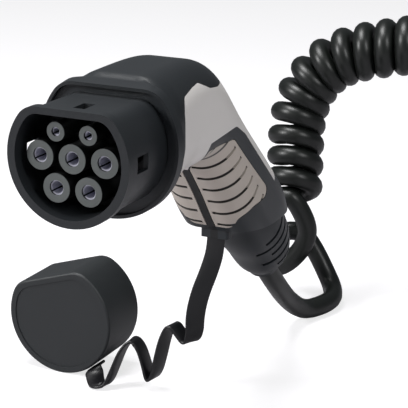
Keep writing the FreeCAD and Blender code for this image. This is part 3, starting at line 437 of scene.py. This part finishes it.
finishes = {
    "dark_shell": finish("dark_shell", (34, 37, 40), 0.4, height=0.00003),
    # The insulator's near-black is painted shade for its deep recess; its towers' front faces turn grey
    # below.
    "contact_insert": finish("contact_insert", (22, 23, 24), 0.45),
    "light_cover": finish("light_cover", (230, 226, 222), 0.4, drift=0.05, height=0.00001),
    "dark_frame": finish("dark_frame", (30, 35, 39), 0.4, height=0.00003),
    "grip_pads": finish("grip_pads", (194, 184, 174), 0.62, drift=0.08, grain=0.0004, sheen=0.15),
    "boot_rubber": finish("boot_rubber", (32, 36, 40), 0.42, height=0.00003),
    "strap_rubber": finish("strap_rubber", (16, 16, 19), 0.36, height=0.00001),
    "cap_plastic": finish("cap_plastic", (36, 39, 41), 0.5, height=0.00003),
    "cable_jacket": finish("cable_jacket", (18, 21, 19), 0.38, drift=0.3, grain=0.003, height=0.00004),
    "zinc_steel": finish("zinc_steel", (190, 190, 186), 0.3, metal=1.0),
    "clamp_plastic": finish("clamp_plastic", (45, 45, 46), 0.5),
    "resistor_body": finish("resistor_body", (176, 158, 122), 0.3),
    "silver_contacts": finish("silver_contacts", (206, 206, 220), 0.4, metal=0.4, height=0.000005),
    "earth_insulation": finish("earth_insulation", (122, 180, 60), 0.4),
    "neutral_insulation": finish("neutral_insulation", (60, 110, 200), 0.4),
    "line_one_insulation": finish("line_one_insulation", (118, 74, 46), 0.4),
    "line_two_insulation": finish("line_two_insulation", (34, 34, 34), 0.4),
    "line_three_insulation": finish("line_three_insulation", (144, 144, 144), 0.4),
    "pilot_insulation": finish("pilot_insulation", (214, 134, 52), 0.4),
    "gland_plastic": finish("gland_plastic", (42, 43, 45), 0.42),
}
print(len(finishes), "finishes")

# %% [markdown]
# Two pieces show a second colour. The insulator's towers have grey front faces, and behind them the insulator
# is painted black, as painted shade in its deep recess. The frame's spine, between the pads, is black as
# well.
# Both could be pieces or slots of their own, but a mask on the Object coordinates is enough: it reads 1
# before the towers' front plane, and 1 near the handle's middle.

# %% Grey tower faces with painted shade behind them, and black spine
PAINTED_SHADE_START, SPINE_HALF_WIDTH = 4.9 * MM, 2.35 * MM


def second_colour(name, part, mask, colour):
    """Give a finish another colour where the node called mask reads 1."""
    tree = finishes[name].node_tree
    surface = next(node for node in tree.nodes if node.type == "GROUP")
    mix = colour_mix(tree)
    mix.inputs["A"].default_value = surface.inputs["Colour"].default_value
    mix.inputs["B"].default_value = srgb(*colour)
    tree.links.new(part[mask].outputs[0], mix.inputs["Factor"])
    tree.links.new(mix.outputs["Result"], surface.inputs["Colour"])


# Behind the towers' front plane the insulator stays near-black as painted shade; in front of it the faces are
# grey.
tree = finishes["contact_insert"].node_tree
part = add_nodes(tree, place="ShaderNodeTexCoord", split="ShaderNodeSeparateXYZ")
add_maths(tree, part, front=("LESS_THAN", {1: PAINTED_SHADE_START}))
join(tree, part, ("place", "Object", "split", 0), ("split", "Y", "front", 0))
second_colour("contact_insert", part, "front", (94, 98, 97))

tree = finishes["dark_frame"].node_tree
part = add_nodes(tree, place="ShaderNodeTexCoord", split="ShaderNodeSeparateXYZ")
add_maths(tree, part, side=("ABSOLUTE", {}), middle=("LESS_THAN", {1: SPINE_HALF_WIDTH}))
join(tree, part, ("place", "Object", "split", 0), ("split", "X", "side", 0), ("side", 0, "middle", 0))
second_colour("dark_frame", part, "middle", (11, 11, 12))
print("painted shade behind", round(PAINTED_SHADE_START / MM, 1), "mm, spine", round(2 * SPINE_HALF_WIDTH / MM, 1), "mm")

# %% [markdown]
# The pads have dark grooves, cut into their solids at an even pitch down the handle. Shade alone is too
# weak inside such shallow cuts, so the material darkens them too. Dot products with the handle's own
# directions tell how far down the handle a point lies, Ping-Pong turns that into the distance to the
# nearest groove, and two more tests keep the grooves below the pads' back edge and clear of the spine.

# %% Dark grooves in the pads
GROOVE_PITCH, GROOVE_HALF_WIDTH = 10.6 * MM, 1.05 * MM
FIRST_GROOVE, BACK_EDGE, SPINE_SPACE = handle_point(-28, 0), handle_point(0, 1.3), 4.5 * MM
way_along = Vector((0, math.cos(HANDLE_SLOPE), -math.sin(HANDLE_SLOPE)))
way_across = Vector((0, math.sin(HANDLE_SLOPE), math.cos(HANDLE_SLOPE)))
tree = finishes["grip_pads"].node_tree
part = add_nodes(tree, place="ShaderNodeTexCoord", split="ShaderNodeSeparateXYZ")
add_maths(tree, part, "ShaderNodeVectorMath", along=("DOT_PRODUCT", {1: way_along}),
          across=("DOT_PRODUCT", {1: way_across}))
add_maths(tree, part,
          turns=("MULTIPLY_ADD", {1: 1 / GROOVE_PITCH, 2: -FIRST_GROOVE.dot(way_along) / GROOVE_PITCH}),
          near=("PINGPONG", {1: 0.5}), inside=("LESS_THAN", {1: GROOVE_HALF_WIDTH / GROOVE_PITCH}),
          low=("LESS_THAN", {1: BACK_EDGE.dot(way_across)}), side=("ABSOLUTE", {}),
          off_middle=("GREATER_THAN", {1: SPINE_SPACE}), two=("MULTIPLY", {}), all=("MULTIPLY", {}))
join(tree, part,
     ("place", "Object", "along", 0), ("place", "Object", "across", 0), ("place", "Object", "split", 0),
     ("along", "Value", "turns", 0), ("turns", 0, "near", 0), ("near", 0, "inside", 0),
     ("across", "Value", "low", 0), ("split", "X", "side", 0), ("side", 0, "off_middle", 0),
     ("inside", 0, "two", 0), ("low", 0, "two", 1), ("two", 0, "all", 0), ("off_middle", 0, "all", 1))
second_colour("grip_pads", part, "all", (58, 54, 51))
print("a groove every", round(GROOVE_PITCH / MM, 1), "mm")

# %% [markdown]
# Every solid is told which finish it wears by its record, and the new pieces wear what they stand for.

# %% Put the finishes on
def wear(piece, slot):
    piece.data.materials.clear()
    piece.data.materials.append(finishes[slot])


for entry in frame["record"]["subparts"]:
    wear(nodes[entry["node"]], entry["material_slot"])
for piece, slot in ((head, "dark_shell"), (collar_ring, "boot_rubber"), (cable, "cable_jacket"),
                    (strap, "strap_rubber")):
    wear(piece, slot)

# %% [markdown]
# The gland's thread is bare in front of its locknut, where the panel goes, and behind it. A true helix
# would need its ends run out, and nobody sees the difference at this size. Geometry Nodes makes plain
# crests: a row of points along the gland, a ring on each point, and the rings joined to one mesh. Both
# stretches use the same node group with their own start and count, and each result is kept as a plain mesh.

# %% The thread's node group
RING_SIDES, CREST_SIDES = 64, 10
crests = bpy.data.node_groups.new("thread_crests", "GeometryNodeTree")
add_sockets(crests, "INPUT",
            ("Start", "Vector", (0, 0, 0)), ("Count", "Int", 3), ("Pitch", "Float", 1.5 * MM),
            ("Radius", "Float", 12.5 * MM), ("Crest", "Float", 0.42 * MM), ("Material", "Material"))
add_sockets(crests, "OUTPUT", ("Geometry", "Geometry"))
part = add_nodes(crests, ins="NodeGroupInput", outs="NodeGroupOutput", row="GeometryNodeMeshLine",
                 step="ShaderNodeCombineXYZ", ring="GeometryNodeCurvePrimitiveCircle",
                 section="GeometryNodeCurvePrimitiveCircle", sweep="GeometryNodeCurveToMesh",
                 copies="GeometryNodeInstanceOnPoints", real="GeometryNodeRealizeInstances",
                 smooth="GeometryNodeSetShadeSmooth", paint="GeometryNodeSetMaterial")
part["ring"].inputs["Resolution"].default_value = RING_SIDES
part["section"].inputs["Resolution"].default_value = CREST_SIDES
part["copies"].inputs["Rotation"].default_value = (0, math.radians(90), 0)
join(crests, part,
     ("ins", "Start", "row", "Start Location"), ("ins", "Count", "row", "Count"),
     ("ins", "Pitch", "step", "X"), ("step", "Vector", "row", "Offset"),
     ("ins", "Radius", "ring", "Radius"), ("ins", "Crest", "section", "Radius"),
     ("ring", "Curve", "sweep", "Curve"), ("section", "Curve", "sweep", "Profile Curve"),
     ("row", "Mesh", "copies", "Points"), ("sweep", "Mesh", "copies", "Instance"),
     ("copies", "Instances", "real", "Geometry"), ("real", "Geometry", "smooth", "Geometry"),
     ("smooth", "Geometry", "paint", "Geometry"), ("ins", "Material", "paint", "Material"),
     ("paint", "Geometry", "outs", "Geometry"))
input_key = {socket.name: socket.identifier for socket in crests.interface.items_tree
             if socket.in_out == "INPUT"}
print("thread group with inputs", list(input_key))

# %% Cut the gland's thread
GLAND_BACK, GLAND_RISE = 340 * MM, 8 * MM


def thread_stretch(name, start, count):
    """One run of crests as a plain mesh: where it starts along the gland, and how many it has."""
    maker = link(bpy.data.objects.new(name + "_maker", bpy.data.meshes.new(name + "_maker")))
    modifier = maker.modifiers.new("crests", "NODES")
    modifier.node_group = crests
    modifier[input_key["Start"]] = (start, GLAND_BACK, GLAND_RISE)
    modifier[input_key["Count"]] = count
    modifier[input_key["Material"]] = finishes["gland_plastic"]
    data = finished_mesh(maker)
    # The group's own rings bring an empty first slot along, and Set Material fills the second.
    data.materials.pop(index=0)
    bpy.data.objects.remove(maker)
    return link(bpy.data.objects.new(name, data))


thread_pieces = [thread_stretch("panel_thread", 156.9 * MM, 2), thread_stretch("end_thread", 165.9 * MM, 3)]
print("thread", [(len(piece.data.vertices), piece.data.materials[0].name) for piece in thread_pieces])

# %% [markdown]
# The photographer's table is white and so is the wall, and only a soft shadow shows where the floor is. The
# floor here is plain grey paint with some light of its own that the camera alone sees, so lit parts of it
# reach white and the shadow stays. A backdrop that bends up would do the same, but would hide the object
# from behind.

# %% Floor
FLOOR_SIZE, FLOOR_LEVEL = 8, -0.182
FLOOR_COLOUR, FLOOR_GLOW = (0.4, 0.39, 0.41, 1), 0.72
bpy.ops.mesh.primitive_plane_add(size=FLOOR_SIZE, location=(0, 0, FLOOR_LEVEL))
floor = bpy.context.object
floor.name = "floor"
paint = bpy.data.materials.new("floor_paint")
paint.use_nodes = True
tree = paint.node_tree
tree.nodes.clear()
part = add_nodes(tree, out="ShaderNodeOutputMaterial", paint="ShaderNodeBsdfDiffuse",
                 glow="ShaderNodeEmission", both="ShaderNodeAddShader", seen="ShaderNodeLightPath")
part["paint"].inputs["Color"].default_value = FLOOR_COLOUR
add_maths(tree, part, strength=("MULTIPLY", {1: FLOOR_GLOW}))
join(tree, part,
     ("seen", "Is Camera Ray", "strength", 0), ("strength", 0, "glow", "Strength"), ("paint", 0, "both", 0),
     ("glow", 0, "both", 1), ("both", 0, "out", "Surface"))
floor.data.materials.append(paint)
print("floor at", FLOOR_LEVEL)

# %% [markdown]
# The world is white to the camera and only a weak bluish sky to the object, so that the lamps make its
# shapes clear. Three wide lamps light it as a studio would: the main one from above, one from the left for
# the nose and the cap, and a faint one from the right for the cover's side.

# %% World and lamps
SKY_COLOUR, SKY_STRENGTH = (0.9, 0.95, 1, 1), 0.13
world = bpy.data.worlds.new("studio")
bpy.context.scene.world = world
world.use_nodes = True
tree = world.node_tree
tree.nodes.clear()
part = add_nodes(tree, out="ShaderNodeOutputWorld", sky="ShaderNodeBackground", white="ShaderNodeBackground",
                 seen="ShaderNodeLightPath", pick="ShaderNodeMixShader")
for name, colour, strength in (("sky", SKY_COLOUR, SKY_STRENGTH), ("white", (1, 1, 1, 1), 1.0)):
    part[name].inputs["Color"].default_value = colour
    part[name].inputs["Strength"].default_value = strength
join(tree, part,
     ("seen", "Is Camera Ray", "pick", 0), ("sky", 0, "pick", 1), ("white", 0, "pick", 2),
     ("pick", 0, "out", "Surface"))


def soft_lamp(name, place, target, width, height, power):
    """A rectangular lamp in metres and watts, aimed at a target."""
    data = bpy.data.lights.new(name, "AREA")
    data.shape = "RECTANGLE"
    data.size, data.size_y, data.energy = width, height, power
    lamp = link(bpy.data.objects.new(name, data))
    lamp.location = place
    lamp.rotation_euler = (Vector(target) - Vector(place)).to_track_quat("-Z", "Y").to_euler()


soft_lamp("top_light", (-0.3, 0.05, 1.25), (0, 0.15, -0.05), 0.7, 0.6, 19)
soft_lamp("left_light", (-0.9, -0.75, 0.6), (0, 0.1, -0.05), 0.3, 0.5, 14)
soft_lamp("right_light", (1.0, -0.25, 0.7), (0, 0.2, -0.05), 0.3, 0.5, 5)
bpy.context.scene.view_settings.view_transform = "Standard"
print(len(bpy.data.lights), "soft lamps")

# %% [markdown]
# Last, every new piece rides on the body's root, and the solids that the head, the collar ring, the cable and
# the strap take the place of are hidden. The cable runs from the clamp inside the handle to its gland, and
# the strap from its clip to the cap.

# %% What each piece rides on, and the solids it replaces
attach(cable, "root")
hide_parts("cable_lead", "curly_cord", "cable_tail")
for piece, node, slot in ((head, "head_housing", "dark_shell"), (collar_ring, "nose_seal", "boot_rubber")):
    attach(piece, "root")
    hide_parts(node)
for piece in thread_pieces:
    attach(piece, "root")
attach(strap, "root")
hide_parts("cap_strap")
